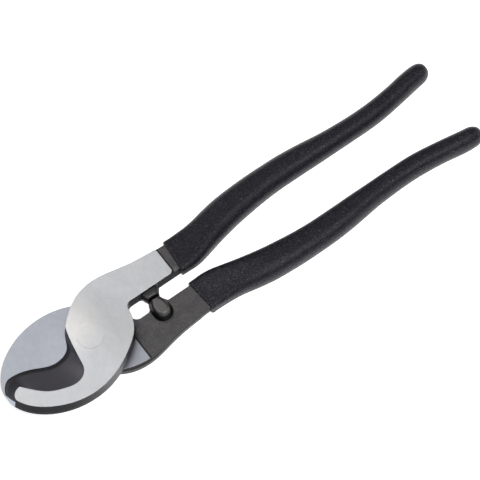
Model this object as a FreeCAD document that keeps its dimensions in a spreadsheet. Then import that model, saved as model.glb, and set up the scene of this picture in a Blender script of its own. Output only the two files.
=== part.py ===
"""Hand cable cutter: two identical forged levers, a flush rivet and two dipped grips.

Units are millimetres. The row frame has its origin on the pivot axis, at the rear lever's ground
outer face, on which the tool rests. +X runs from the pivot towards the handles and +Z up.

Each lever is drawn in a lever frame of its own: origin on the pivot axis at the mating face, +Z
towards the lever's outer face, jaw towards -X and -Y, handle towards +X and +Y. The front lever
lies in that attitude, and the rear lever is the same forging turned half round about X.
"""

import FreeCAD, Part
import math
import os
from FreeCAD import Placement, Rotation, Vector

# ---------------------------------------------------------------- driving dimensions

DIMENSIONS = {
    "plate_thickness": 6.3,      # each lever across its head
    "running_gap": 0.1,          # between the two mating faces
    "edge_bevel_height": 2.0,    # steep narrow bevel behind the cutting edge
    "parting_line": 0.3,         # the jaw's back stands this proud at the bevel's height
    "face_relief": 0.8,          # forged neck below the ground outer face
    "mating_relief": 0.2,        # forged neck below the ground mating face
    "shank_radius": 5.0,         # rivet
    "countersink": 1.0,          # flush rivet heads, 45 degrees
    "bore_clearance": 0.05,      # front lever turns on the rivet
    "lug_half_width": 4.55,
    "lug_rise": 4.5,             # beyond the mating face
    "lug_depth": 3.8,            # down the inner side of the neck
    "lug_draft": 0.8,            # how much it narrows below its rounded top, each side
    "lug_crown": 2.4,            # height of its rounded top
    "lug_foot_rounding": 2.2,
    "lug_butt_gap": 0.05,        # each lug's share of the gap at the stop
    "coat_thickness": 1.7,       # vinyl over the handle
    "grip_start": 48.9,
    "grip_start_tilt": 4.5,      # degrees
    "end_dome": 6.0,             # length of the rounded handle end
}

doc = FreeCAD.newDocument("CableCutter")
sheet = doc.addObject("Spreadsheet::Sheet", "Dimensions")
for row, (alias, value) in enumerate(DIMENSIONS.items(), start=1):
    sheet.set(f"A{row}", alias)
    sheet.set(f"B{row}", str(value))
    sheet.setAlias(f"B{row}", alias)
doc.recompute()


def size(alias):
    """The value of one driving dimension, in millimetres or degrees."""
    return float(getattr(sheet, alias))


# ---------------------------------------------------------------- outlines of the head
# Each stretch is given at the mating face and at the outer face; points match one to one.

NECK_END = 56.0                  # hidden in the grip
NECK_INNER = 3.4                 # inner edge of the neck, from the centre line
CROTCH_RADIUS = 3.0              # fillet between the hub's rim and the neck
GROUND_END = 45.8                # end of the ground outer face, along the neck
GROUND_CORNER = 1.6              # radius of its inner corner
GROUND_SHOULDER = (17.3, 1.5)    # its outer corner's arc: far end from the centre line, radius
MATING_GROUND_END = 15.8         # end of the ground mating face
LUG_X = 32.6                     # stop lug, along the neck
LUG_FAR = 11.4                   # its round end, from the centre line
LUG_TAPER = 1.5                  # narrower each side where it butts
LUG_BUTT_ROUNDING = 0.6          # how much its rounded ends draw in from the butting face
WEB_RADIUS = 2.5                 # fillet between the neck and the lug, on the hub's side
GUSSET_REACH = 5.0               # from the lug's middle to the gusset's end, on the grip's side

# Hub rim, then the back of the jaw, as far as the tip.
BACK_MATING = [(20.2, 0.4), (19.4, -3.6), (16.4, -9.3), (10, -15), (3, -19.2), (-5, -22.2),
               (-14, -23.2), (-24, -21.7), (-33, -17.7), (-40, -11.8), (-44, -5)]
BACK_FACE = [(20.2, 0.4), (19.4, -3.6), (16.4, -9.3), (10, -14.9), (3, -19.1), (-5, -22.0),
             (-14, -23.0), (-24, -21.1), (-32.6, -16.9), (-39, -11.4), (-42.3, -6)]
# Round the tip of the jaw.
TIP_MATING = [(-44, -5), (-44.6, -0.9), (-43.6, 3.0), (-41.4, 6.0), (-39, 7.3)]
TIP_FACE = [(-42.3, -6), (-42.1, -4.2), (-41.2, -2.8), (-39.7, -1.8), (-37.7, -1.4)]
# The mouth: cutting edge at the mating face, top of the edge bevel (between its two ends), edge
# of the ground face.
MOUTH_MATING = [(-39, 7.3), (-33, 6.7), (-27, 4.4), (-22.5, 2.1), (-18, 1.15), (-14, 1.8),
                (-11.2, 3.5), (-9.6, 6), (-8.2, 9.2), (-6.3, 11.8)]
MOUTH_BEVEL = [(-33.1, 3.9), (-27.5, 1.6), (-22.6, -0.75), (-17.7, -1.7), (-14.2, -1.15),
               (-11.8, 0), (-10.1, 2.2), (-8.7, 7)]
MOUTH_FACE = [(-37.7, -1.4), (-33.4, -6.7), (-28.5, -11.1), (-23, -13.6), (-17, -14.9),
              (-13, -13.7), (-10.7, -10.8), (-9.9, -7), (-8.5, 2), (-6.4, 10.2)]
# From the heel of the mouth over the shoulder and along the neck.
SHOULDER_MATING = [(-6.3, 11.8), (-3.3, 14.4), (0.3, 16.9), (6, 19.8), (13, 21.4), (20, 21.5),
                   (30, 19.6), (43, 18.0), (NECK_END, 17.0)]
# Parting line of the forging, at the edge bevel's height, between the same two ends.
SHOULDER_BEVEL = [(-3.3, 14.6), (0.3, 17.4), (6, 20.5), (13, 22.1), (20, 21.75), (30, 19.65),
                  (43, 18.05)]
SHOULDER_FACE = [(-6.4, 10.2), (-3.3, 13.4), (0.4, 16.4), (6, 19.6), (13, 21.2), (20, 20.9),
                 (30, 18.8), (43, 17.2), (NECK_END, 16.4)]

# ---------------------------------------------------------------- handle sections
# Outer surface of the grip: station, centre Y, centre Z, half width, half height, squareness.
# Squareness is the exponent of a superellipse: 2 is an ellipse.

GRIP_STATIONS = [
    (47, 10.3, 2.8, 8.3, 3.5, 5.0),
    (51, 10.2, 2.75, 8.4, 3.55, 4.6),
    (55, 10.3, 2.35, 8.6, 3.95, 3.8),
    (60, 10.9, 1.7, 8.55, 4.6, 3.1),
    (65, 12.05, 1.05, 8.25, 5.25, 2.7),
    (71, 13.65, 0.4, 8.1, 5.85, 2.4),
    (80, 15.6, 0, 7.85, 6.25, 2.3),
    (91, 16.95, 0, 7.4, 6.3, 2.3),
    (105, 17.75, 0, 6.9, 6.2, 2.2),
    (121, 17.5, 0, 6.45, 6.0, 2.2),
    (138, 16.4, 0, 5.5, 5.8, 2.1),
    (151, 16.05, 0, 5.1, 5.6, 2.1),
    (164, 16.4, 0, 5.0, 5.5, 2.1),
    (176, 17.85, 0, 4.9, 5.4, 2.1),
    (189.0, 19.75, 0, 4.7, 5.3, 2.1),
]
END_STRAIGHTENING = 0.5          # share of the handle's slope kept in its end
END_BLUNTNESS = 0.75             # 1 is a ball end, less is blunter
END_ANGLE = math.radians(84)     # where the rounded handle end is closed by a small flat
DOME_STEPS = 4                   # sections round the handle end
CROWN_STEPS = 6                  # sections round an end of the stop lug
CROWN_FULLNESS = 0.8             # inset of the lug's rounding for each millimetre of its height
CROWN_ANGLE = math.radians(85)   # where the lug's rounding meets its small flat top
SECTION_POINTS = 20
TOUCH = 0.01                     # how close a point must be to count as on an edge


# ---------------------------------------------------------------- drawing helpers

def blend(first, second, share):
    """Points part of the way from one outline to the other."""
    return [tuple(a + share * (b - a) for a, b in zip(p, q)) for p, q in zip(first, second)]


def curve(points, start=None):
    """A smooth open curve through points, with an optional direction at its start."""
    spline = Part.BSplineCurve()
    options = {"InitialTangent": Vector(*start)} if start else {}
    spline.interpolate([Vector(*p, 0) for p in points], **options)
    return spline


def segment(start, end):
    return Part.LineSegment(Vector(*start, 0), Vector(*end, 0))


def arc(start, middle, end):
    return Part.Arc(Vector(*start, 0), Vector(*middle, 0), Vector(*end, 0))


def new_body(label):
    body = doc.addObject("PartDesign::Body", label)
    body.Label = label
    return body


def new_sketch(body, name, geometry, plane="XY_Plane", offset=None):
    """A sketch on one of the body's own planes, at an offset that may be an expression."""
    sketch = body.newObject("Sketcher::SketchObject", name)
    support = [f for f in body.Origin.OriginFeatures if f.Role == plane][0]
    sketch.AttachmentSupport = [(support, "")]
    sketch.MapMode = "FlatFace"
    if isinstance(offset, str):
        sketch.setExpression(".AttachmentOffset.Base.z", offset)
    elif offset:
        sketch.AttachmentOffset = Placement(Vector(0, 0, offset), Rotation())
    for item in geometry:
        sketch.addGeometry(item, False)
    return sketch


def loft(body, name, sketches, ruled=False):
    feature = body.newObject("PartDesign::AdditiveLoft", name)
    feature.Profile = sketches[0]
    feature.Sections = sketches[1:]
    feature.Ruled = ruled
    return feature


def straight(body, kind, name, sketch, length, reverse=False):
    """A Pad or Pocket whose length is an expression."""
    feature = body.newObject(f"PartDesign::{kind}", name)
    feature.Profile = sketch
    feature.setExpression("Length", length)
    feature.Reversed = reverse
    return feature


# ---------------------------------------------------------------- the levers

def head_outline(back, tip, mouth, shoulder):
    """The closed outline of the head and neck at one level."""
    crotch_middle = CROTCH_RADIUS * (1 - math.sqrt(0.5))
    rim_x, rim_y = back[0]
    inner_x = rim_x + CROTCH_RADIUS
    return [
        curve(back, start=(0, -1)),
        curve(tip),
        curve(mouth),
        curve(shoulder),
        segment(shoulder[-1], (NECK_END, NECK_INNER)),
        segment((NECK_END, NECK_INNER), (inner_x, NECK_INNER)),
        arc((inner_x, NECK_INNER), (rim_x + crotch_middle, NECK_INNER - crotch_middle),
            (rim_x, rim_y)),
    ]


def add_head(body):
    """Hooked jaw, hub and neck, with both bevels of the cutting edge."""
    share = size("edge_bevel_height") / size("plate_thickness")
    back = blend(BACK_MATING, BACK_FACE, share)
    tip = blend(TIP_MATING, TIP_FACE, share)
    shoulder = blend(SHOULDER_MATING, SHOULDER_FACE, share)
    proud = size("parting_line")
    back[1:-1] = [(x, y - proud) for x, y in back[1:-1]]
    shoulder[1:-1] = SHOULDER_BEVEL
    mouth = [tip[-1]] + MOUTH_BEVEL + [shoulder[0]]
    mating = new_sketch(body, "MatingOutline", head_outline(
        BACK_MATING, TIP_MATING, MOUTH_MATING, SHOULDER_MATING))
    bevel = new_sketch(body, "BevelOutline", head_outline(back, tip, mouth, shoulder),
                       offset="Dimensions.edge_bevel_height")
    face = new_sketch(body, "FaceOutline", head_outline(
        BACK_FACE, TIP_FACE, MOUTH_FACE, SHOULDER_FACE), offset="Dimensions.plate_thickness")
    loft(body, "Head", [mating, bevel, face], ruled=True)


def add_reliefs(body):
    """Forged surfaces of the neck lie a little below the ground faces."""
    beyond, reach = NECK_END + 1, 30
    side, bend = GROUND_END - GROUND_CORNER, NECK_INNER + GROUND_CORNER
    shift = GROUND_CORNER * (1 - math.sqrt(0.5))
    far_y, radius = GROUND_SHOULDER
    far_x, low_y = GROUND_END - radius, far_y - radius
    bulge = radius * math.sqrt(0.5)
    face = new_sketch(body, "FaceReliefOutline", [
        segment((far_x, reach), (beyond, reach)),
        segment((beyond, reach), (beyond, 0)),
        segment((beyond, 0), (side, 0)),
        segment((side, 0), (side, NECK_INNER)),
        arc((side, NECK_INNER), (GROUND_END - shift, NECK_INNER + shift), (GROUND_END, bend)),
        segment((GROUND_END, bend), (GROUND_END, low_y)),
        arc((GROUND_END, low_y), (far_x + bulge, low_y + bulge), (far_x, far_y)),
        segment((far_x, far_y), (far_x, reach)),
    ], offset="Dimensions.plate_thickness")
    straight(body, "Pocket", "FaceRelief", face, "Dimensions.face_relief")
    mating = new_sketch(body, "MatingReliefOutline", [
        segment((MATING_GROUND_END, reach), (beyond, reach)),
        segment((beyond, reach), (beyond, -reach)),
        segment((beyond, -reach), (MATING_GROUND_END, -reach)),
        segment((MATING_GROUND_END, -reach), (MATING_GROUND_END, reach)),
    ])
    straight(body, "Pocket", "MatingRelief", mating, "Dimensions.mating_relief", reverse=True)


def section(station, inset, scale=1.0):
    """A closed superellipse across the handle, in the sketch's own axes (Y and Z of the lever)."""
    _, centre_y, centre_z, half_width, half_height, squareness = station
    power = 2 / squareness
    points = []
    for step in range(SECTION_POINTS):
        turn = 2 * math.pi * (step + 0.5) / SECTION_POINTS
        across = math.copysign(abs(math.cos(turn)) ** power, math.cos(turn))
        up = math.copysign(abs(math.sin(turn)) ** power, math.sin(turn))
        points.append(Vector(centre_y + (half_width - inset) * scale * across,
                             centre_z + (half_height - inset) * scale * up, 0))
    spline = Part.BSplineCurve()
    spline.interpolate(points, PeriodicFlag=True)
    return spline


def handle_stations(inset):
    """Places and outlines along the handle, with a rounded end; inset shortens and slims it."""
    stations = [(s[0], section(s, inset)) for s in GRIP_STATIONS]
    last, before = GRIP_STATIONS[-1], GRIP_STATIONS[-2]
    slope = END_STRAIGHTENING * (last[1] - before[1]) / (last[0] - before[0])
    dome = size("end_dome") - inset
    for step in range(1, DOME_STEPS + 1):
        angle = END_ANGLE * step / DOME_STEPS
        along = dome * math.sin(angle)
        moved = (last[0] + along, last[1] + slope * along) + last[2:]
        stations.append((moved[0], section(moved, inset, math.cos(angle) ** END_BLUNTNESS)))
    return stations


def add_handle(body, name, inset, first=0):
    """Lofts along the handle, leaving out the stations before first."""
    sketches = [new_sketch(body, f"{name}Section{i}", [outline], plane="YZ_Plane", offset=x)
                for i, (x, outline) in enumerate(handle_stations(inset)[first:])]
    loft(body, name, sketches)


def lug_outline(inset=0.0):
    """The stop lug in plan: narrow where it butts, round at its far end."""
    wide = size("lug_half_width") - inset
    narrow = wide - LUG_TAPER
    far = LUG_FAR - inset
    butt = size("lug_butt_gap") + LUG_BUTT_ROUNDING * inset
    round_y = far - wide
    swell = (wide - 0.25 * LUG_TAPER, butt + 0.4 * (round_y - butt))
    return [
        segment((LUG_X - narrow, butt), (LUG_X + narrow, butt)),
        arc((LUG_X + narrow, butt), (LUG_X + swell[0], swell[1]), (LUG_X + wide, round_y)),
        arc((LUG_X + wide, round_y), (LUG_X, far), (LUG_X - wide, round_y)),
        arc((LUG_X - wide, round_y), (LUG_X - swell[0], swell[1]), (LUG_X - narrow, butt)),
    ]


def lug_webs():
    """In plan: the fillet on the hub's side of the lug and the gusset on the grip's side."""
    narrow = size("lug_half_width") - LUG_TAPER
    depth = NECK_INNER + 1
    side = LUG_X - narrow - 0.4
    middle_x, middle_y = side - WEB_RADIUS, NECK_INNER - WEB_RADIUS
    bend = WEB_RADIUS * math.sqrt(0.5)
    fillet = [
        arc((middle_x, NECK_INNER), (middle_x + bend, middle_y + bend), (side, middle_y)),
        segment((side, middle_y), (LUG_X - 1, middle_y)),
        segment((LUG_X - 1, middle_y), (LUG_X - 1, depth)),
        segment((LUG_X - 1, depth), (middle_x, depth)),
        segment((middle_x, depth), (middle_x, NECK_INNER)),
    ]
    start_y = size("lug_butt_gap") + 0.3
    reach = LUG_X + GUSSET_REACH
    gusset = [
        segment((LUG_X + narrow, start_y), (reach, NECK_INNER)),
        segment((reach, NECK_INNER), (reach, depth)),
        segment((reach, depth), (LUG_X + 1, depth)),
        segment((LUG_X + 1, depth), (LUG_X + 1, start_y)),
        segment((LUG_X + 1, start_y), (LUG_X + narrow, start_y)),
    ]
    return fillet + gusset


def add_crown(body, name, base, height, start_inset=0.0):
    """Rounds one end of the lug off, from its side at base to a small flat top."""
    sketches = []
    for step in range(CROWN_STEPS + 1):
        angle = CROWN_ANGLE * step / CROWN_STEPS
        inset = start_inset + CROWN_FULLNESS * abs(height) * (1 - math.cos(angle))
        sketches.append(new_sketch(body, f"{name}Section{step}", lug_outline(inset),
                                   offset=base + height * math.sin(angle)))
    loft(body, name, sketches)


def add_lug(body):
    """Forged stop lug on the mating side of the neck, reaching past its inner edge."""
    crown, foot, draft = size("lug_crown"), size("lug_foot_rounding"), size("lug_draft")
    below = "Dimensions.lug_depth - Dimensions.lug_foot_rounding"
    outline = new_sketch(body, "LugOutline", lug_outline())
    straight(body, "Pad", "Lug", outline, below)
    wide = new_sketch(body, "LugDraftStart", lug_outline())
    narrow = new_sketch(body, "LugDraftEnd", lug_outline(draft),
                        offset="Dimensions.lug_crown - Dimensions.lug_rise")
    loft(body, "LugDraft", [wide, narrow], ruled=True)
    add_crown(body, "LugCrown", crown - size("lug_rise"), -crown, draft)
    add_crown(body, "LugFoot", size("lug_depth") - foot, foot)
    webs = new_sketch(body, "LugWebOutline", lug_webs(), offset="Dimensions.mating_relief")
    straight(body, "Pad", "LugWebs", webs, f"{below} - Dimensions.mating_relief")


def add_bore(body, clearance):
    """Bore for the rivet's shank, with a countersink in the outer face."""
    radius, top = size("shank_radius") + clearance, size("plate_thickness")
    sketch = new_sketch(body, "BoreOutline", [
        Part.Circle(Vector(0, 0, 0), Vector(0, 0, 1), radius)])
    bore = straight(body, "Pocket", "Bore", sketch, "Dimensions.plate_thickness", reverse=True)
    doc.recompute()
    rims = [f"Edge{number}" for number, edge in enumerate(bore.Shape.Edges, start=1)
            if all(abs(p.z - top) < TOUCH and abs(math.hypot(p.x, p.y) - radius) < TOUCH
                   for p in edge.discretize(5))]
    sink = body.newObject("PartDesign::Chamfer", "Countersink")
    sink.Base = (bore, rims)
    sink.setExpression("Size", "Dimensions.countersink")
    body.Tip = sink


def make_lever(label, attitude, clearance):
    body = new_body(label)
    add_head(body)
    add_reliefs(body)
    add_handle(body, "Tang", size("coat_thickness"), first=1)
    add_lug(body)
    add_bore(body, clearance)
    body.Placement = attitude
    doc.recompute()
    return body


def make_grip(label, attitude, lever):
    """Dipped sleeve: the outer shape of the handle, less the lever inside it."""
    sleeve = new_body(f"{label}_sleeve")
    add_handle(sleeve, "Sleeve", 0.0)
    reach = 30
    near = size("grip_start") - 2 * reach
    lean = reach * math.tan(math.radians(size("grip_start_tilt")))
    low, high = size("grip_start") - lean, size("grip_start") + lean
    trim = new_sketch(sleeve, "StartLine", [
        segment((near, -reach), (low, -reach)),
        segment((low, -reach), (high, reach)),
        segment((high, reach), (near, reach)),
        segment((near, reach), (near, -reach)),
    ])
    cut = sleeve.newObject("PartDesign::Pocket", "StartTrim")
    cut.Profile = trim
    cut.Midplane = True
    cut.Length = 2 * reach
    sleeve.Placement = attitude
    grip = doc.addObject("Part::Cut", label)
    grip.Label = label
    grip.Base = sleeve
    grip.Tool = lever
    doc.recompute()
    return grip


# ---------------------------------------------------------------- the rivet

def cone(name, start, end):
    """One flush rivet head, between two radii given as expressions."""
    head = doc.addObject("Part::Cone", name)
    head.setExpression("Height", "Dimensions.countersink")
    head.setExpression("Radius1", start)
    head.setExpression("Radius2", end)
    return head


def make_rivet(label):
    """Straight shank with a cone at each end, ground flush with both outer faces."""
    length = "2 * Dimensions.plate_thickness + Dimensions.running_gap"
    narrow, wide = "Dimensions.shank_radius", "Dimensions.shank_radius + Dimensions.countersink"
    shank = doc.addObject("Part::Cylinder", "RivetShank")
    shank.setExpression("Radius", narrow)
    shank.setExpression("Height", length)
    rear = cone("RivetRearHead", wide, narrow)
    front = cone("RivetFrontHead", narrow, wide)
    front.setExpression(".Placement.Base.z", f"{length} - Dimensions.countersink")
    rivet = doc.addObject("Part::MultiFuse", label)
    rivet.Label = label
    rivet.Shapes = [shank, rear, front]
    doc.recompute()
    return rivet


# ---------------------------------------------------------------- the assembly

half_gap = 0.5 * size("running_gap")
seam = size("plate_thickness") + half_gap
front_attitude = Placement(Vector(0, 0, seam + half_gap), Rotation())
rear_attitude = Placement(Vector(0, 0, seam - half_gap), Rotation(Vector(1, 0, 0), 180))

front_lever = make_lever("front_lever", front_attitude, size("bore_clearance"))
rear_lever = make_lever("rear_lever", rear_attitude, 0.0)
pivot_rivet = make_rivet("pivot_rivet")
front_grip = make_grip("front_grip", front_attitude, front_lever)
rear_grip = make_grip("rear_grip", rear_attitude, rear_lever)

# ---------------------------------------------------------------- check and write

for item in doc.Objects:
    if {"Invalid", "Error"} & set(item.State):
        raise RuntimeError(f"{item.Label}: {item.getStatusString()}")

os.makedirs("parts", exist_ok=True)
for item in (front_lever, rear_lever, pivot_rivet, front_grip, rear_grip):
    shape = item.Shape
    if shape.isNull() or not shape.isValid() or len(shape.Solids) != 1:
        raise RuntimeError(f"{item.Label} is not one valid solid")
    shape.exportStep(f"parts/{item.Label}.step")
    print(item.Label, round(shape.Volume), "mm3", shape.BoundBox)
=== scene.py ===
"""Looks of the hand cable cutter: materials, grips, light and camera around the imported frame.

The row frame is in metres: origin on the pivot axis at the face on which the tool rests, +X
towards the handles, +Z up. Materials work in millimetres of the row frame.
"""

import math

import bpy
import numpy as np
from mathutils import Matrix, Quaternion, Vector, noise


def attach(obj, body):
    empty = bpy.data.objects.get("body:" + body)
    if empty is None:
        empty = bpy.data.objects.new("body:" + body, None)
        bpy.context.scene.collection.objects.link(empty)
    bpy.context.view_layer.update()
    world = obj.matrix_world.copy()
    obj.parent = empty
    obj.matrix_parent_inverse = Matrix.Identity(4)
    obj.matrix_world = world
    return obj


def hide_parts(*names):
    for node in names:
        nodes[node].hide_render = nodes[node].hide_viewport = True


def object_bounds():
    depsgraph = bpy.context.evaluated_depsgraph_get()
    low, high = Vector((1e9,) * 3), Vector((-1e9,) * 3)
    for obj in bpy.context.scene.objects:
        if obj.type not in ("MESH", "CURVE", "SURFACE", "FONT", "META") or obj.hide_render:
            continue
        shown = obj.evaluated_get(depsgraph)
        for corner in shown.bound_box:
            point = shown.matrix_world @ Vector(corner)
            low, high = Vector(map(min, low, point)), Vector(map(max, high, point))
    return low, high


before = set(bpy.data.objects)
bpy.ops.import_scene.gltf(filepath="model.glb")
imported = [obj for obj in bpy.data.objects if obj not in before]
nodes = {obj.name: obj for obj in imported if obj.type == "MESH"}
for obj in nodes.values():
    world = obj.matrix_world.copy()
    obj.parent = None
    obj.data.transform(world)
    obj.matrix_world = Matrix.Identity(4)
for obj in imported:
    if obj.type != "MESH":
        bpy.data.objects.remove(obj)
cad_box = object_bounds()

MM = 1000.0                      # millimetres in a metre
FRONT_MATING = 6.4               # height of the front lever's mating face, millimetres
REAR_MATING = 6.3                # height of the rear lever's mating face

# ---------------------------------------------------------------- places on a lever
# In a lever's own frame, as in the CAD, in millimetres: origin on the pivot axis at the mating
# face, +Z towards the outer face, jaw towards -X and -Y, handle towards +X and +Y. A FADE is a
# pair of places or distances: the change starts at the first and is complete at the second.

TINY = 0.05                      # a place this near a face is on it
PLATE = 6.3                      # thickness of the lever
FACE_RELIEF_LEVEL = 5.5          # height of the forged band behind the ground outer face
MATING_RELIEF_TOP = 0.25         # just above the forged neck's side of the mating face
MATING_GROUND_END = 15.8         # the ground mating face ends here along the neck
NECK_INNER = 3.4                 # inner edge of the neck, from the centre line

HUB_FADE = (2.0, 24.0)           # away from the pivot the ground faces shade as if they fell
HUB_DROP = 0.5                   # by this much
PAINTED_HIGHLIGHT_RIM = (-6.0, 10.0, 0.0)   # painted highlight: a ground face is painted brightest round this place on the hub's rim
PAINTED_HIGHLIGHT_FADE = (20.0, 2.0)        # distances from that place, for the painted highlight

EDGE_BEVEL_TOP_FADE = (2.15, 1.85)     # the steep narrow bevel behind the edge, in height
EDGE_BEVEL_NOSE_FADE = (-44.6, -42.0)  # its end at the nose
EDGE_BEVEL_BACK_FADE = (-2.6, -1.6)    # and round the nose, towards the jaw's back
EDGE_BEVEL_HEEL = -6.6                 # and at the heel of the mouth

NOSE_FLAT_SLOPE = -0.56          # height of the flat on the nose, for each millimetre of Y
NOSE_FLAT_RISE = 1.12            # its height on the centre line
NOSE_FLAT_Y = (-5.3, 2.0)        # it lies between these
NOSE_FLAT_END = -42.5            # and from here on towards the nose

GROUND_CORNER = (44.2, 5.0)      # centre of the ground outer face's rounded inner corner
FACE_LINE_FADE = (2.6, 2.2)      # the painted shadow line round that face, from the corner's centre
HEEL_LINE_START = 15.0           # the painted shadow line at the end of the ground mating face
HEEL_LINE_FADE = (16.7, 16.3)

BACK_SLOPE = -0.543              # a line half way between the jaw's back and its mouth
BACK_RISE = -28.13
BACK_AT_HUB = -17.0              # near the hub the line stays at this Y
MOUTH_REFLECTION_FADE = (-4.0, -9.0)        # the walls inside the mouth, painted lighter and bluer as a reflection
NOSE_SHADE_FADE = (-34.0, -38.5)       # painted shade on the walls near the nose
HUB_SHEEN_FADE = (-18.0, 2.0)     # painted sheen on the hub's rim, lighter towards the handles
BACK_FADE = (0.0, -30.0)         # painted shade on the jaw's back, darker towards the nose
NECK_START = 22.0                # painted shade on the neck's inner wall starts here along the neck
NECK_WALL_FOOT = 0.3             # and at this height
LUG_X = 32.6                     # stop lug, along the neck
LUG_HALF_WIDTH = 4.8
LUG_WALL_FADE = (-3.2, -2.0)     # painted shade on the lug's side, in height, beyond the mating face
LUG_WALL_END = -0.25             # it ends at this height
LUG_LIGHT_FADE = (-3.2, -4.6)      # painted light on the lug's rounded top
SHOULDER_X = -3.0                # the shoulder's wall lies beyond this place
SHOULDER_Y = 13.0                # and this one
SHOULDER_HEIGHTS = (0.28, 5.3)   # between these heights
SHOULDER_PARTING_FADE = (1.9, 2.1)   # its painted shade is darkest below the parting line
BAND_CORNER = (47.3, 4.2, 5.5)   # inner corner of the forged band
BAND_CORNER_FADE = (1.7, 0.4)    # it has a painted highlight within this distance
HEEL_SHADE_FADE = (2.0, 12.0)   # painted shade: the mating face is painted darker towards its end

EDGE_SOFTNESS = 0.0003           # metres
BUMP_UNIT = 0.001                # metres; bump heights are in millimetres

# ---------------------------------------------------------------- colours

GROUND_COOL = (0.612, 0.618, 0.638, 1)
GROUND_WARM = (0.626, 0.630, 0.638, 1)
GROUND_CLOUD = (0.55, 0.56, 0.58, 1)
GROUND_LINE = (0.45, 0.46, 0.48, 1)
# painted highlight on the ground faces near the hub's rim
GROUND_PAINTED_HIGHLIGHT = (0.79, 0.775, 0.755, 1)
POLISHED_DARK = (0.42, 0.44, 0.49, 1)
POLISHED_LIGHT = (0.45, 0.465, 0.515, 1)
# painted shade on the mating face towards its end
HEEL_PAINTED_SHADE = (0.32, 0.33, 0.37, 1)
FORGED_DARK = (0.104, 0.101, 0.104, 1)
FORGED_LIGHT = (0.128, 0.122, 0.119, 1)
FORGED_GRAIN = (0.060, 0.058, 0.062, 1)
# forged walls inside the mouth, lighter and bluer as a painted reflection
MOUTH_PAINTED_REFLECTION = (0.135, 0.130, 0.150, 1)
# painted shade on the walls near the nose
NOSE_PAINTED_SHADE = (0.040, 0.038, 0.045, 1)
# painted sheen on the hub's rim
HUB_PAINTED_SHEEN = (0.21, 0.207, 0.215, 1)
# painted shade on the jaw's back, the neck's inner wall, the shoulder's wall and the lug's side
WALL_PAINTED_SHADE = (0.024, 0.023, 0.024, 1)
# painted light on the lug's top
LUG_TOP_PAINTED_LIGHT = (0.17, 0.162, 0.158, 1)
# painted highlight at the forged band's inner corner
CORNER_PAINTED_HIGHLIGHT = (0.20, 0.187, 0.182, 1)
CUTTING_BEVEL = (0.068, 0.067, 0.073, 1)
NOSE_FLAT = (0.46, 0.51, 0.57, 1)
# painted shadow lines at the steps beside the ground faces
PAINTED_SHADOW_LINE = (0.012, 0.012, 0.013, 1)
STEEL_EDGE_TINT = (0.65, 0.65, 0.66, 1.0)    # keeps walls seen at a low angle from mirroring
VINYL_DARK = (0.0020, 0.0018, 0.0050, 1)
VINYL_LIGHT = (0.0045, 0.0042, 0.0085, 1)
VINYL_GRAIN = (0.036, 0.034, 0.051, 1)
VINYL_SPECK = (0.09, 0.09, 0.10, 1)

# ---------------------------------------------------------------- shader helpers


class Shader:
    """A node tree that is built by calls. Most return an output socket; node returns the node
    itself and finish the material."""

    def __init__(self, name):
        self.material = bpy.data.materials.new(name)
        self.material.use_nodes = True
        self.tree = self.material.node_tree
        self.tree.nodes.clear()

    def node(self, kind, settings=None, **inputs):
        """A node of that kind. Inputs are named, with _ for a space, or i0, i1 ... by number."""
        made = self.tree.nodes.new(f"ShaderNode{kind}")
        for name, value in (settings or {}).items():
            setattr(made, name, value)
        for name, value in inputs.items():
            numbered = name[0] == "i" and name[1:].isdigit()
            socket = made.inputs[int(name[1:]) if numbered else name.replace("_", " ")]
            if isinstance(value, bpy.types.NodeSocket):
                self.tree.links.new(value, socket)
            else:
                socket.default_value = value
        return made

    def math(self, operation, *values):
        inputs = {f"i{number}": value for number, value in enumerate(values)}
        return self.node("Math", {"operation": operation}, **inputs).outputs[0]

    def above(self, value, limit):
        """1 where value is more than limit, else 0."""
        return self.math("GREATER_THAN", value, limit)

    def below(self, value, limit):
        """1 where value is less than limit, else 0."""
        return self.math("LESS_THAN", value, limit)

    def between(self, value, low, high):
        """1 where value lies between low and high, else 0."""
        return self.math("MULTIPLY", self.above(value, low), self.below(value, high))

    def both(self, first, *others):
        """The product of several masks."""
        for other in others:
            first = self.math("MULTIPLY", first, other)
        return first

    def without(self, mask):
        """The opposite of a mask."""
        return self.math("SUBTRACT", 1.0, mask)

    def rising(self, value, low, high, start=0.0, end=1.0):
        """Goes smoothly from start to end as value goes from low to high."""
        return self.node("MapRange", {"interpolation_type": "SMOOTHSTEP"}, Value=value,
                         From_Min=low, From_Max=high, To_Min=start, To_Max=end).outputs[0]

    def mix(self, share, first, second):
        """A colour, from first at share 0 to second at share 1."""
        return self.node("Mix", {"data_type": "RGBA"}, i0=share, i6=first, i7=second).outputs[2]

    def mix_value(self, share, first, second):
        return self.node("Mix", {"data_type": "FLOAT"}, i0=share, i2=first, i3=second).outputs[0]

    def noise(self, place, scale, detail=3.0, roughness=0.5):
        return self.node("TexNoise", Vector=place, Scale=scale, Detail=detail,
                         Roughness=roughness).outputs["Fac"]

    def stretched(self, place, scale):
        """Place with its axes scaled one by one, for a pattern with a direction."""
        return self.node("VectorMath", {"operation": "MULTIPLY"}, i0=place,
                         i1=scale).outputs[0]

    def distance(self, place, point):
        return self.node("VectorMath", {"operation": "DISTANCE"}, i0=place,
                         i1=point).outputs["Value"]

    def row_mm(self):
        """The place in the row frame at rest, in millimetres."""
        place = self.node("TexCoord").outputs["Object"]
        return self.stretched(place, (MM, MM, MM))

    def bumped(self, height, **inputs):
        """The surface's normal, bent by a height in millimetres."""
        return self.node("Bump", Strength=1.0, Distance=BUMP_UNIT, Height=height,
                         **inputs).outputs[0]

    def finish(self, **inputs):
        """Closes the tree with a principled shader, whose constants go straight on it."""
        shader = self.node("BsdfPrincipled", **inputs)
        self.node("OutputMaterial", Surface=shader.outputs[0])
        return self.material


def grey(value):
    return (value, value, value, 1.0)


# ---------------------------------------------------------------- materials


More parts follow.
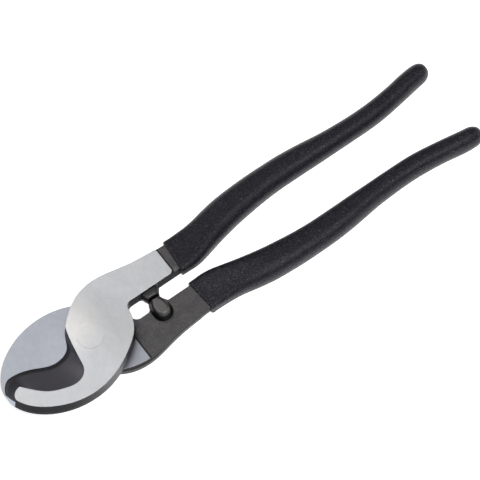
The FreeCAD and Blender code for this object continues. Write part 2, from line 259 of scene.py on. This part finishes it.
def ground_steel(s, own):
    """Colour, roughness and height of the ground faces: fine grinding lines, faint clouds and a
    painted highlight near the hub's rim.
    """
    lines = s.noise(s.stretched(own, (1.0, 0.06, 0.2)), scale=5.0, detail=4.0, roughness=0.7)
    clouds = s.noise(own, scale=0.10, detail=3.0, roughness=0.6)
    tint = s.noise(s.stretched(own, (1.0, 1.0, 0.3)), scale=0.17, detail=2.0)
    colour = s.mix(s.rising(tint, 0.35, 0.65), GROUND_COOL, GROUND_WARM)
    colour = s.mix(s.rising(clouds, 0.35, 0.65, end=0.18), colour, GROUND_CLOUD)
    colour = s.mix(s.rising(lines, 0.35, 0.7, end=0.14), colour, GROUND_LINE)
    in_plan = s.stretched(own, (1.0, 1.0, 0.0))
    from_rim = s.distance(in_plan, PAINTED_HIGHLIGHT_RIM)
    # painted highlight: lighter towards a place on the hub's rim
    colour = s.mix(s.rising(from_rim, *PAINTED_HIGHLIGHT_FADE, end=0.9), colour, GROUND_PAINTED_HIGHLIGHT)
    roughness = s.mix_value(s.rising(lines, 0.35, 0.65), 0.34, 0.44)
    height = s.math("MULTIPLY_ADD", lines, 0.004, s.math("MULTIPLY", clouds, 0.12))
    from_pivot = s.distance(in_plan, (0.0, 0.0, 0.0))
    fall = s.rising(from_pivot, *HUB_FADE, end=-HUB_DROP)
    return colour, roughness, s.math("ADD", height, fall)


def cutting_bevel(s, x, y, z):
    """Mask of the narrow bevel along the whole cutting edge, round to the nose."""
    return s.both(s.rising(z, *EDGE_BEVEL_TOP_FADE), s.rising(x, *EDGE_BEVEL_NOSE_FADE),
                  s.below(x, EDGE_BEVEL_HEEL), s.rising(y, *EDGE_BEVEL_BACK_FADE))


def nose_flat(s, x, y, z):
    """Mask of the flat ground on the nose, which widens from nothing towards the jaw's back."""
    top = s.math("MULTIPLY_ADD", y, NOSE_FLAT_SLOPE, NOSE_FLAT_RISE)
    return s.both(s.below(z, top), s.between(y, *NOSE_FLAT_Y), s.below(x, NOSE_FLAT_END),
                  s.above(z, TINY))


def painted_shadow_lines(s, x, y, z):
    """Mask of the painted shadow lines at the steps where the forged surfaces meet the raised
    ground ones.
    """
    corner_x, corner_y = GROUND_CORNER
    off_x = s.math("MAXIMUM", s.math("SUBTRACT", x, corner_x), 0.0)
    off_y = s.math("MAXIMUM", s.math("SUBTRACT", corner_y, y), 0.0)
    off = s.math("SQRT", s.math("ADD", s.math("MULTIPLY", off_x, off_x),
                                s.math("MULTIPLY", off_y, off_y)))
    band = s.between(z, FACE_RELIEF_LEVEL - TINY, FACE_RELIEF_LEVEL + TINY)
    face_line = s.both(band, s.rising(off, *FACE_LINE_FADE))
    heel_line = s.both(s.between(z, TINY, MATING_RELIEF_TOP), s.rising(x, *HEEL_LINE_FADE),
                       s.above(x, HEEL_LINE_START))
    return s.math("MAXIMUM", face_line, heel_line)


def wall_colour(s, own, x, y, z, forged):
    """Colour of the forged surfaces, with painted shade, painted sheen, painted highlights and a
    painted reflection in places.
    """
    halfway = s.math("MAXIMUM", s.math("MULTIPLY_ADD", x, BACK_SLOPE, BACK_RISE), BACK_AT_HUB)
    behind = s.below(y, halfway)
    in_mouth = s.both(s.rising(x, *MOUTH_REFLECTION_FADE), s.without(behind))
    # painted reflection: the walls inside the mouth are lighter and bluer
    colour = s.mix(s.math("MULTIPLY", in_mouth, 0.8), forged, MOUTH_PAINTED_REFLECTION)
    # painted shade on the walls near the nose
    colour = s.mix(s.rising(x, *NOSE_SHADE_FADE), colour, NOSE_PAINTED_SHADE)
    # painted sheen on the hub's rim, lighter towards the handles
    colour = s.mix(s.both(behind, s.rising(x, *HUB_SHEEN_FADE, end=0.6)), colour, HUB_PAINTED_SHEEN)

    # Painted shade on the jaw's back, the neck's inner wall, the shoulder's wall and the lug's
    # side.
    back = s.both(behind, s.rising(x, *BACK_FADE, end=0.92))
    beside_lug = s.below(s.math("ABSOLUTE", s.math("SUBTRACT", x, LUG_X)), LUG_HALF_WIDTH)
    inner_neck = s.both(s.below(y, NECK_INNER + TINY), s.above(x, NECK_START),
                        s.above(z, NECK_WALL_FOOT), s.without(beside_lug))
    shoulder = s.both(s.above(y, SHOULDER_Y), s.above(x, SHOULDER_X),
                      s.between(z, *SHOULDER_HEIGHTS),
                      s.rising(z, *SHOULDER_PARTING_FADE, start=0.85, end=0.55))
    lug_wall = s.both(s.rising(z, *LUG_WALL_FADE, end=0.75), s.below(z, LUG_WALL_END))
    painted_shade = s.math("MAXIMUM", back, s.math("MULTIPLY", inner_neck, 0.95))
    painted_shade = s.math("MAXIMUM", painted_shade, shoulder)
    painted_shade = s.math("MAXIMUM", painted_shade, lug_wall)
    colour = s.mix(painted_shade, colour, WALL_PAINTED_SHADE)

    # painted light on the lug's rounded top
    colour = s.mix(s.rising(z, *LUG_LIGHT_FADE, end=0.6), colour, LUG_TOP_PAINTED_LIGHT)
    # painted highlight round the forged band's inner corner
    from_corner = s.distance(own, BAND_CORNER)
    return s.mix(s.rising(from_corner, *BAND_CORNER_FADE, end=0.55), colour, CORNER_PAINTED_HIGHLIGHT)


def lever_material(name, side, mating_height):
    """Forged and blackened steel with ground faces. Side is 1 for the front lever, -1 for the
    rear, which is the same forging turned half round about X."""
    s = Shader(name)
    own = s.node("VectorMath", {"operation": "MULTIPLY_ADD"}, i0=s.row_mm(), i1=(1, side, side),
                 i2=(0, 0, -side * mating_height)).outputs[0]
    x, y, z = s.node("SeparateXYZ", Vector=own).outputs
    outer = s.between(z, PLATE - TINY, PLATE + TINY)
    mating = s.both(s.between(z, -TINY, TINY), s.below(x, MATING_GROUND_END + TINY))
    ground = s.math("ADD", outer, mating)

    colour_ground, rough_ground, height_ground = ground_steel(s, own)
    grain = s.noise(own, scale=1.6, detail=4.0, roughness=0.62)
    blotch = s.rising(s.noise(own, scale=0.22, detail=3.0, roughness=0.6), 0.3, 0.7)
    forged = s.mix(blotch, FORGED_DARK, FORGED_LIGHT)
    forged = s.mix(s.rising(grain, 0.35, 0.65, end=0.4), forged, FORGED_GRAIN)
    polished = s.mix(blotch, POLISHED_DARK, POLISHED_LIGHT)
    # painted shade on the mating face towards its end
    polished = s.mix(s.rising(x, *HEEL_SHADE_FADE, end=0.5), polished, HEEL_PAINTED_SHADE)

    colour = wall_colour(s, own, x, y, z, forged)
    colour = s.mix(cutting_bevel(s, x, y, z), colour, CUTTING_BEVEL)
    colour = s.mix(nose_flat(s, x, y, z), colour, NOSE_FLAT)
    # painted shadow along the steps beside the ground faces
    colour = s.mix(s.math("MULTIPLY", painted_shadow_lines(s, x, y, z), 0.8), colour, PAINTED_SHADOW_LINE)
    colour = s.mix(mating, colour, polished)
    colour = s.mix(outer, colour, colour_ground)

    rough = s.mix_value(s.rising(grain, 0.3, 0.7), 0.34, 0.46)
    roughness = s.mix_value(ground, rough, rough_ground)
    height = s.mix_value(ground, s.math("MULTIPLY", grain, 0.09), height_ground)
    soft_edges = s.node("Bevel", {"samples": 6}, Radius=EDGE_SOFTNESS).outputs[0]
    return s.finish(Base_Color=colour, Metallic=1.0, Roughness=roughness,
                    Specular_Tint=STEEL_EDGE_TINT, Normal=s.bumped(height, Normal=soft_edges))


def rivet_material(name):
    """The rivet's two flush ends, ground together with the levers' faces."""
    s = Shader(name)
    colour, roughness, height = ground_steel(s, s.row_mm())
    return s.finish(Base_Color=colour, Metallic=1.0, Roughness=roughness,
                    Normal=s.bumped(height))


def grip_material(name):
    """Dipped vinyl: near black, fine pebbled grain and a scatter of pale specks."""
    s = Shader(name)
    place = s.row_mm()
    pebbles = s.noise(place, scale=1.5, detail=3.0, roughness=0.65)
    grain = s.noise(place, scale=4.0, detail=3.0, roughness=0.6)
    mottle = s.noise(place, scale=0.25)
    cells = s.node("TexVoronoi", {"feature": "F1"}, Vector=place, Scale=0.6)
    draw = s.node("SeparateColor", Color=cells.outputs["Color"]).outputs[0]
    speck = s.below(cells.outputs["Distance"], s.rising(draw, 0.55, 1.0, end=0.16))
    colour = s.mix(s.rising(mottle, 0.3, 0.7), VINYL_DARK, VINYL_LIGHT)
    colour = s.mix(s.rising(pebbles, 0.49, 0.66), colour, VINYL_GRAIN)
    colour = s.mix(speck, colour, VINYL_SPECK)
    roughness = s.rising(pebbles, 0.35, 0.65, start=0.46, end=0.28)
    height = s.math("MULTIPLY_ADD", pebbles, 0.13, s.math("MULTIPLY", grain, 0.04))
    return s.finish(Base_Color=colour, Metallic=0.0, Roughness=roughness,
                    Specular_IOR_Level=0.3, Normal=s.bumped(height))


def set_material(obj, material):
    obj.data.materials.clear()
    obj.data.materials.append(material)


# ---------------------------------------------------------------- the dipped grips
# The outer surface of a handle in its lever's own frame, as in the CAD, in millimetres: station,
# centre Y, centre Z, half width, half height, squareness of the superellipse.

GRIP_STATIONS = [
    (47, 10.3, 2.8, 8.3, 3.5, 5.0),
    (51, 10.2, 2.75, 8.4, 3.55, 4.6),
    (55, 10.3, 2.35, 8.6, 3.95, 3.8),
    (60, 10.9, 1.7, 8.55, 4.6, 3.1),
    (65, 12.05, 1.05, 8.25, 5.25, 2.7),
    (71, 13.65, 0.4, 8.1, 5.85, 2.4),
    (80, 15.6, 0, 7.85, 6.25, 2.3),
    (91, 16.95, 0, 7.4, 6.3, 2.3),
    (105, 17.75, 0, 6.9, 6.2, 2.2),
    (121, 17.5, 0, 6.45, 6.0, 2.2),
    (138, 16.4, 0, 5.5, 5.8, 2.1),
    (151, 16.05, 0, 5.1, 5.6, 2.1),
    (164, 16.4, 0, 5.0, 5.5, 2.1),
    (176, 17.85, 0, 4.9, 5.4, 2.1),
    (189, 19.75, 0, 4.7, 5.3, 2.1),
]
END_DOME = 6.0                   # length of the rounded end
END_STRAIGHTENING = 0.5          # share of the handle's slope kept in its end
END_BLUNTNESS = 0.75             # 1 is a ball end, less is blunter
END_ANGLE = math.radians(84)
DOME_STEPS = 4
GRIP_START = 48.9
START_TILT = math.tan(math.radians(4.5))
TILT_FADE = 25.0                 # the rings stand square again this far along
RINGS_ALONG = 260
FINE_ROWS = 4000                 # rows from which the rings are picked
POINTS_ROUND = 112
# The lip where the dip starts: how far its rings lie inside the surface, and along the handle.
LIP = [(1.7, 0.3), (0.9, 0.0), (0.25, 0.04), (0.05, 0.2), (-0.06, 0.6), (-0.1, 1.2), (-0.06, 2.0)]
LIP_END = 3.2                    # the evenly picked rings start this far along
WAVE_HEIGHT = 0.07               # unevenness of the dipped coat
WAVE_SCALE = 0.11                # waves in a millimetre
WAVE_GIRTH = 9                   # round the handle the waves are those of a tube of this radius


def natural_spline(knots, values, places):
    """Rows of values at new places, on the natural cubic spline through the knots."""
    gaps = np.diff(knots)
    slopes = np.diff(values, axis=0) / gaps[:, None]
    system = np.eye(len(knots))
    right = np.zeros_like(values)
    for i in range(1, len(gaps)):
        system[i, i - 1:i + 2] = gaps[i - 1], 2 * (gaps[i - 1] + gaps[i]), gaps[i]
        right[i] = 6 * (slopes[i] - slopes[i - 1])
    bends = np.linalg.solve(system, right)
    i = np.clip(np.searchsorted(knots, places) - 1, 0, len(gaps) - 1)
    t = (places - knots[i])[:, None]
    gap = gaps[i][:, None]
    first = slopes[i] - gap * (2 * bends[i] + bends[i + 1]) / 6
    cubic = (bends[i + 1] - bends[i]) / (6 * gap)
    return values[i] + t * first + t ** 2 * bends[i] / 2 + t ** 3 * cubic


def handle_rows():
    """Station rows along the grip, close together, from its start to its rounded end."""
    rows = [list(map(float, row)) for row in GRIP_STATIONS]
    last, before = rows[-1], rows[-2]
    slope = END_STRAIGHTENING * (last[1] - before[1]) / (last[0] - before[0])
    for step in range(1, DOME_STEPS + 1):
        angle = END_ANGLE * step / DOME_STEPS
        along = END_DOME * math.sin(angle)
        scale = math.cos(angle) ** END_BLUNTNESS
        rows.append([last[0] + along, last[1] + slope * along, last[2],
                     last[3] * scale, last[4] * scale, last[5]])
    rows = np.array(rows)
    steps = np.linalg.norm(np.diff(rows[:, [0, 3, 4]], axis=0), axis=1)
    knots = np.concatenate([[0], np.cumsum(steps)])
    fine = natural_spline(knots, rows, np.linspace(0, knots[-1], FINE_ROWS))
    start = int(np.searchsorted(fine[:, 0], GRIP_START + LIP_END))
    lip = [fine[np.searchsorted(fine[:, 0], GRIP_START + along)] for _, along in LIP]
    body = fine[np.linspace(start, len(fine) - 1, RINGS_ALONG).astype(int)]
    insets = [inset for inset, _ in LIP] + [0.0] * RINGS_ALONG
    return np.array(lip + list(body)), insets


def ring(row, inset):
    """Points round the handle at one station, in the lever's own frame."""
    station, centre_y, centre_z, half_width, half_height, squareness = row
    power = 2 / squareness
    tilt = START_TILT * max(0.0, 1 - (station - GRIP_START) / TILT_FADE)
    points = []
    for step in range(POINTS_ROUND):
        turn = 2 * math.pi * (step + 0.5) / POINTS_ROUND
        across = math.copysign(abs(math.cos(turn)) ** power, math.cos(turn))
        up = math.copysign(abs(math.sin(turn)) ** power, math.sin(turn))
        on_tube = Vector((station, WAVE_GIRTH * across, WAVE_GIRTH * up))
        wave = WAVE_HEIGHT * noise.noise(WAVE_SCALE * on_tube)
        depth = min(inset - wave, half_width, half_height)
        y = centre_y + (half_width - depth) * across
        z = centre_z + (half_height - depth) * up
        points.append((station + tilt * y, y, z))
    return points


def make_grip(name, node, body, side, mating_height):
    """One dipped grip as a closed skin, placed in the row frame."""
    rows, insets = handle_rows()
    points = [point for row, inset in zip(rows, insets) for point in ring(row, inset)]
    count = len(rows)
    faces = []
    for i in range(count - 1):
        for j in range(POINTS_ROUND):
            k = (j + 1) % POINTS_ROUND
            a, b = i * POINTS_ROUND, (i + 1) * POINTS_ROUND
            faces.append((a + j, a + k, b + k, b + j))
    faces.append(tuple(reversed(range(POINTS_ROUND))))
    faces.append(tuple(range((count - 1) * POINTS_ROUND, count * POINTS_ROUND)))
    placed = [(x / MM, side * y / MM, (mating_height + side * z) / MM) for x, y, z in points]
    mesh = bpy.data.meshes.new(name)
    mesh.from_pydata(placed, [], faces)
    mesh.shade_smooth()
    grip = bpy.data.objects.new(name, mesh)
    bpy.context.scene.collection.objects.link(grip)
    set_material(grip, vinyl)
    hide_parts(node)
    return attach(grip, body)


set_material(nodes["front_lever"], lever_material("FrontLeverSteel", 1, FRONT_MATING))
set_material(nodes["rear_lever"], lever_material("RearLeverSteel", -1, REAR_MATING))
set_material(nodes["pivot_rivet"], rivet_material("RivetSteel"))
vinyl = grip_material("GripVinyl")
make_grip("front_grip_vinyl", "front_grip", "front_half", 1, FRONT_MATING)
make_grip("rear_grip_vinyl", "rear_grip", "rear_half", -1, REAR_MATING)

# ---------------------------------------------------------------- floor, light and camera

FLOOR_SIZE = 12.0
FLOOR_GAP = 0.00002              # below the tool
FLOOR_GLOW_FADE = (-60.0, 60.0)  # the floor glows more towards the handles, millimetres
FLOOR_GLOW = (0.55, 0.95)
WORLD_STRENGTH = 0.3
MIDDLE = Vector((0.075, 0.0, 0.0))     # the lights look at this point
# Name, direction from the middle, distance, width and radiance of each light.
SOFTBOXES = [
    ("Overhead", (-0.33, 0.47, 1.0), 1.6, 1.5, 1.17),
    ("Key", (0.05, -0.53, 0.9), 1.5, 0.8, 4.0),
    ("Right", (0.8, -0.3, 0.6), 1.4, 0.6, 1.5),
]

floor_shader = Shader("FloorPaper")
floor_x = floor_shader.node("SeparateXYZ", Vector=floor_shader.row_mm()).outputs[0]
floor_glow = floor_shader.rising(floor_x, *FLOOR_GLOW_FADE, *FLOOR_GLOW)
floor_material = floor_shader.finish(Base_Color=grey(0.9), Roughness=0.9,
                                     Emission_Color=grey(1.0), Emission_Strength=floor_glow)
bpy.ops.mesh.primitive_plane_add(size=FLOOR_SIZE, location=(0, 0, cad_box[0].z - FLOOR_GAP))
floor = bpy.context.object
floor.name = "Floor"
set_material(floor, floor_material)

world = bpy.data.worlds.new("Studio")
world.use_nodes = True
world.node_tree.nodes["Background"].inputs["Color"].default_value = grey(1.0)
world.node_tree.nodes["Background"].inputs["Strength"].default_value = WORLD_STRENGTH
bpy.context.scene.world = world


def softbox(name, direction, distance, width, radiance):
    """A square area light that looks at the middle of the tool from that direction."""
    data = bpy.data.lights.new(name, "AREA")
    data.shape = "SQUARE"
    data.size = width
    data.energy = radiance * math.pi * width ** 2
    light = bpy.data.objects.new(name, data)
    toward = Vector(direction).normalized()
    light.location = MIDDLE + distance * toward
    light.rotation_euler = toward.to_track_quat("Z", "Y").to_euler()
    bpy.context.scene.collection.objects.link(light)


for row in SOFTBOXES:
    softbox(*row)

CAMERA_PLACE = Vector((-0.1942, -0.5395, 1.2277))
CAMERA_TARGET = Vector((0.0792, 0.0011, 0.0063))
CAMERA_ROLL = math.radians(9.45)
CAMERA_LENS = 233.7              # millimetres, on a 36 mm wide film

camera_data = bpy.data.cameras.new("Camera")
camera_data.lens = CAMERA_LENS
camera_data.sensor_width = 36.0
camera = bpy.data.objects.new("Camera", camera_data)
camera.location = CAMERA_PLACE
view_line = CAMERA_TARGET - CAMERA_PLACE
roll = Quaternion(view_line, CAMERA_ROLL)
camera.rotation_mode = "QUATERNION"
camera.rotation_quaternion = roll @ view_line.to_track_quat("-Z", "Y")
bpy.context.scene.collection.objects.link(camera)
bpy.context.scene.camera = camera
bpy.context.scene.view_settings.view_transform = "Standard"
